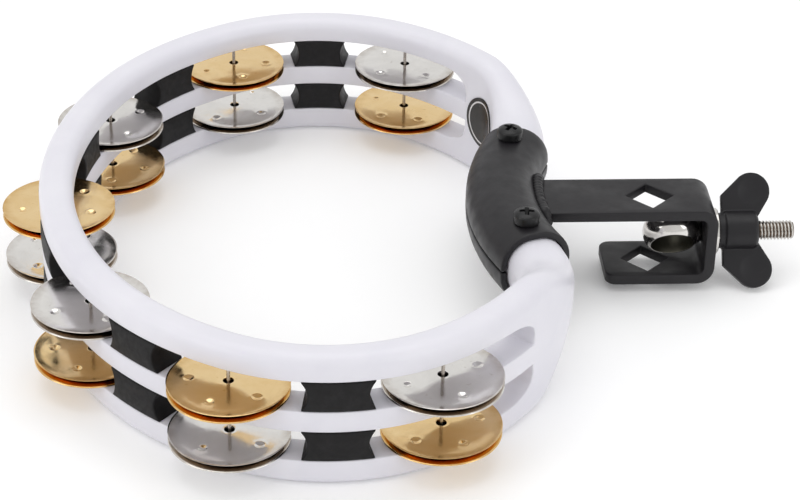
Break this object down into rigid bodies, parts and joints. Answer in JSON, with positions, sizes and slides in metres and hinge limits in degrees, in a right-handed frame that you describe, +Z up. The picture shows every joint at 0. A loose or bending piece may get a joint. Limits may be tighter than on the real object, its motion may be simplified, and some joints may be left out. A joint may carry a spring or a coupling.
{
  "type": "mountable tambourine",
  "caption": "Rounded moulded tambourine with two rows of paired jingles on pins, and a bolted handle clamp that grips a stand rod with an eye bolt and wing nut.",
  "frame": {"origin": "on the surface it lies on, below the middle of the object's box, with the clamp's wing nut loose or tight at its stored place", "axes": "+Z up through the flat frame, +X from the jingle end towards the handle and its clamp, +Y to the side"},
  "size_m": [0.2874, 0.2668, 0.0485],
  "materials": {
    "frame_plastic": "satin white moulded plastic",
    "post_plastic": "matte black",
    "pin_steel": "plain steel wire",
    "gold_brass": "polished, dimpled",
    "nickel_silver": "polished, dimpled",
    "coated_steel": "satin black coating",
    "black_screw": "semi-gloss black",
    "chrome_steel": "polished chrome plating",
    "label_film": "plain black oval film, no lettering"
  },
  "bodies": {
    "frame": {"frame_ring": "frame_plastic", "post_bottom_1": "post_plastic", "post_bottom_2": "post_plastic", "post_bottom_3": "post_plastic", "post_bottom_4": "post_plastic", "post_bottom_5": "post_plastic", "post_bottom_6": "post_plastic", "post_top_1": "post_plastic", "post_top_2": "post_plastic", "post_top_3": "post_plastic", "post_top_4": "post_plastic", "post_top_5": "post_plastic", "post_top_6": "post_plastic", "pin_1": "pin_steel", "pin_2": "pin_steel", "pin_3": "pin_steel", "pin_4": "pin_steel", "pin_5": "pin_steel", "pin_6": "pin_steel", "pin_7": "pin_steel", "oval_label": "label_film", "saddle_upper": "coated_steel", "saddle_lower": "coated_steel", "clamp_arm": "coated_steel", "clamp_screw_1": "black_screw", "clamp_screw_2": "black_screw", "clamp_washer": "chrome_steel"},
    "jingle_bottom_1_lower": {"jingle_bottom_1_lower": "gold_brass"},
    "jingle_bottom_1_upper": {"jingle_bottom_1_upper": "gold_brass"},
    "jingle_bottom_2_lower": {"jingle_bottom_2_lower": "nickel_silver"},
    "jingle_bottom_2_upper": {"jingle_bottom_2_upper": "nickel_silver"},
    "jingle_bottom_3_lower": {"jingle_bottom_3_lower": "gold_brass"},
    "jingle_bottom_3_upper": {"jingle_bottom_3_upper": "gold_brass"},
    "jingle_bottom_4_lower": {"jingle_bottom_4_lower": "nickel_silver"},
    "jingle_bottom_4_upper": {"jingle_bottom_4_upper": "nickel_silver"},
    "jingle_bottom_5_lower": {"jingle_bottom_5_lower": "gold_brass"},
    "jingle_bottom_5_upper": {"jingle_bottom_5_upper": "gold_brass"},
    "jingle_bottom_6_lower": {"jingle_bottom_6_lower": "nickel_silver"},
    "jingle_bottom_6_upper": {"jingle_bottom_6_upper": "nickel_silver"},
    "jingle_bottom_7_lower": {"jingle_bottom_7_lower": "gold_brass"},
    "jingle_bottom_7_upper": {"jingle_bottom_7_upper": "gold_brass"},
    "jingle_top_1_lower": {"jingle_top_1_lower": "nickel_silver"},
    "jingle_top_1_upper": {"jingle_top_1_upper": "nickel_silver"},
    "jingle_top_2_lower": {"jingle_top_2_lower": "gold_brass"},
    "jingle_top_2_upper": {"jingle_top_2_upper": "gold_brass"},
    "jingle_top_3_lower": {"jingle_top_3_lower": "nickel_silver"},
    "jingle_top_3_upper": {"jingle_top_3_upper": "nickel_silver"},
    "jingle_top_4_lower": {"jingle_top_4_lower": "gold_brass"},
    "jingle_top_4_upper": {"jingle_top_4_upper": "gold_brass"},
    "jingle_top_5_lower": {"jingle_top_5_lower": "nickel_silver"},
    "jingle_top_5_upper": {"jingle_top_5_upper": "nickel_silver"},
    "jingle_top_6_lower": {"jingle_top_6_lower": "gold_brass"},
    "jingle_top_6_upper": {"jingle_top_6_upper": "gold_brass"},
    "jingle_top_7_lower": {"jingle_top_7_lower": "nickel_silver"},
    "jingle_top_7_upper": {"jingle_top_7_upper": "nickel_silver"},
    "eye_bolt": {"eye_bolt": "chrome_steel"},
    "wing_nut": {"wing_nut": "coated_steel"}
  },
  "joints": [
    {"name": "jingle_bottom_1_lift", "type": "slide", "parent": "frame", "child": "jingle_bottom_1_lower", "axis": [0, 0, 1], "range_m": [0, 0.0077]},
    {"name": "jingle_bottom_1_spin", "type": "hinge", "parent": "jingle_bottom_1_lower", "child": "jingle_bottom_1_upper", "pos_m": [0.00671, -0.11152, 0.0118], "axis": [0, 0, 1], "continuous": true},
    {"name": "jingle_bottom_2_lift", "type": "slide", "parent": "frame", "child": "jingle_bottom_2_lower", "axis": [0, 0, 1], "range_m": [0, 0.0077]},
    {"name": "jingle_bottom_2_spin", "type": "hinge", "parent": "jingle_bottom_2_lower", "child": "jingle_bottom_2_upper", "pos_m": [-0.062, -0.11338, 0.0118], "axis": [0, 0, 1], "continuous": true},
    {"name": "jingle_bottom_3_lift", "type": "slide", "parent": "frame", "child": "jingle_bottom_3_lower", "axis": [0, 0, 1], "range_m": [0, 0.0077]},
    {"name": "jingle_bottom_3_spin", "type": "hinge", "parent": "jingle_bottom_3_lower", "child": "jingle_bottom_3_upper", "pos_m": [-0.10865, -0.06469, 0.0118], "axis": [0, 0, 1], "continuous": true},
    {"name": "jingle_bottom_4_lift", "type": "slide", "parent": "frame", "child": "jingle_bottom_4_lower", "axis": [0, 0, 1], "range_m": [0, 0.0077]},
    {"name": "jingle_bottom_4_spin", "type": "hinge", "parent": "jingle_bottom_4_lower", "child": "jingle_bottom_4_upper", "pos_m": [-0.1237, 0, 0.0118], "axis": [0, 0, 1], "continuous": true},
    {"name": "jingle_bottom_5_lift", "type": "slide", "parent": "frame", "child": "jingle_bottom_5_lower", "axis": [0, 0, 1], "range_m": [0, 0.0077]},
    {"name": "jingle_bottom_5_spin", "type": "hinge", "parent": "jingle_bottom_5_lower", "child": "jingle_bottom_5_upper", "pos_m": [-0.10865, 0.06469, 0.0118], "axis": [0, 0, 1], "continuous": true},
    {"name": "jingle_bottom_6_lift", "type": "slide", "parent": "frame", "child": "jingle_bottom_6_lower", "axis": [0, 0, 1], "range_m": [0, 0.0077]},
    {"name": "jingle_bottom_6_spin", "type": "hinge", "parent": "jingle_bottom_6_lower", "child": "jingle_bottom_6_upper", "pos_m": [-0.062, 0.11338, 0.0118], "axis": [0, 0, 1], "continuous": true},
    {"name": "jingle_bottom_7_lift", "type": "slide", "parent": "frame", "child": "jingle_bottom_7_lower", "axis": [0, 0, 1], "range_m": [0, 0.0077]},
    {"name": "jingle_bottom_7_spin", "type": "hinge", "parent": "jingle_bottom_7_lower", "child": "jingle_bottom_7_upper", "pos_m": [0.00671, 0.11152, 0.0118], "axis": [0, 0, 1], "continuous": true},
    {"name": "jingle_top_1_lift", "type": "slide", "parent": "frame", "child": "jingle_top_1_lower", "axis": [0, 0, 1], "range_m": [0, 0.0077]},
    {"name": "jingle_top_1_spin", "type": "hinge", "parent": "jingle_top_1_lower", "child": "jingle_top_1_upper", "pos_m": [0.00671, -0.11152, 0.0308], "axis": [0, 0, 1], "continuous": true},
    {"name": "jingle_top_2_lift", "type": "slide", "parent": "frame", "child": "jingle_top_2_lower", "axis": [0, 0, 1], "range_m": [0, 0.0077]},
    {"name": "jingle_top_2_spin", "type": "hinge", "parent": "jingle_top_2_lower", "child": "jingle_top_2_upper", "pos_m": [-0.062, -0.11338, 0.0308], "axis": [0, 0, 1], "continuous": true},
    {"name": "jingle_top_3_lift", "type": "slide", "parent": "frame", "child": "jingle_top_3_lower", "axis": [0, 0, 1], "range_m": [0, 0.0077]},
    {"name": "jingle_top_3_spin", "type": "hinge", "parent": "jingle_top_3_lower", "child": "jingle_top_3_upper", "pos_m": [-0.10865, -0.06469, 0.0308], "axis": [0, 0, 1], "continuous": true},
    {"name": "jingle_top_4_lift", "type": "slide", "parent": "frame", "child": "jingle_top_4_lower", "axis": [0, 0, 1], "range_m": [0, 0.0077]},
    {"name": "jingle_top_4_spin", "type": "hinge", "parent": "jingle_top_4_lower", "child": "jingle_top_4_upper", "pos_m": [-0.1237, 0, 0.0308], "axis": [0, 0, 1], "continuous": true},
    {"name": "jingle_top_5_lift", "type": "slide", "parent": "frame", "child": "jingle_top_5_lower", "axis": [0, 0, 1], "range_m": [0, 0.0077]},
    {"name": "jingle_top_5_spin", "type": "hinge", "parent": "jingle_top_5_lower", "child": "jingle_top_5_upper", "pos_m": [-0.10865, 0.06469, 0.0308], "axis": [0, 0, 1], "continuous": true},
    {"name": "jingle_top_6_lift", "type": "slide", "parent": "frame", "child": "jingle_top_6_lower", "axis": [0, 0, 1], "range_m": [0, 0.0077]},
    {"name": "jingle_top_6_spin", "type": "hinge", "parent": "jingle_top_6_lower", "child": "jingle_top_6_upper", "pos_m": [-0.062, 0.11338, 0.0308], "axis": [0, 0, 1], "continuous": true},
    {"name": "jingle_top_7_lift", "type": "slide", "parent": "frame", "child": "jingle_top_7_lower", "axis": [0, 0, 1], "range_m": [0, 0.0077]},
    {"name": "jingle_top_7_spin", "type": "hinge", "parent": "jingle_top_7_lower", "child": "jingle_top_7_upper", "pos_m": [0.00671, 0.11152, 0.0308], "axis": [0, 0, 1], "continuous": true},
    {"name": "wing_nut_turn", "type": "hinge", "parent": "frame", "child": "wing_nut", "pos_m": [0.12, 0, 0.0181], "axis": [1, 0, 0], "range_deg": [0, 3375]},
    {"name": "eye_bolt_slide", "type": "slide", "parent": "frame", "child": "eye_bolt", "axis": [-1, 0, 0], "range_m": [0, 0.012]}
  ],
  "couplings": [
    {"joint": "eye_bolt_slide", "follows": "wing_nut_turn", "m_per_rad": 0.00019894}
  ]
}
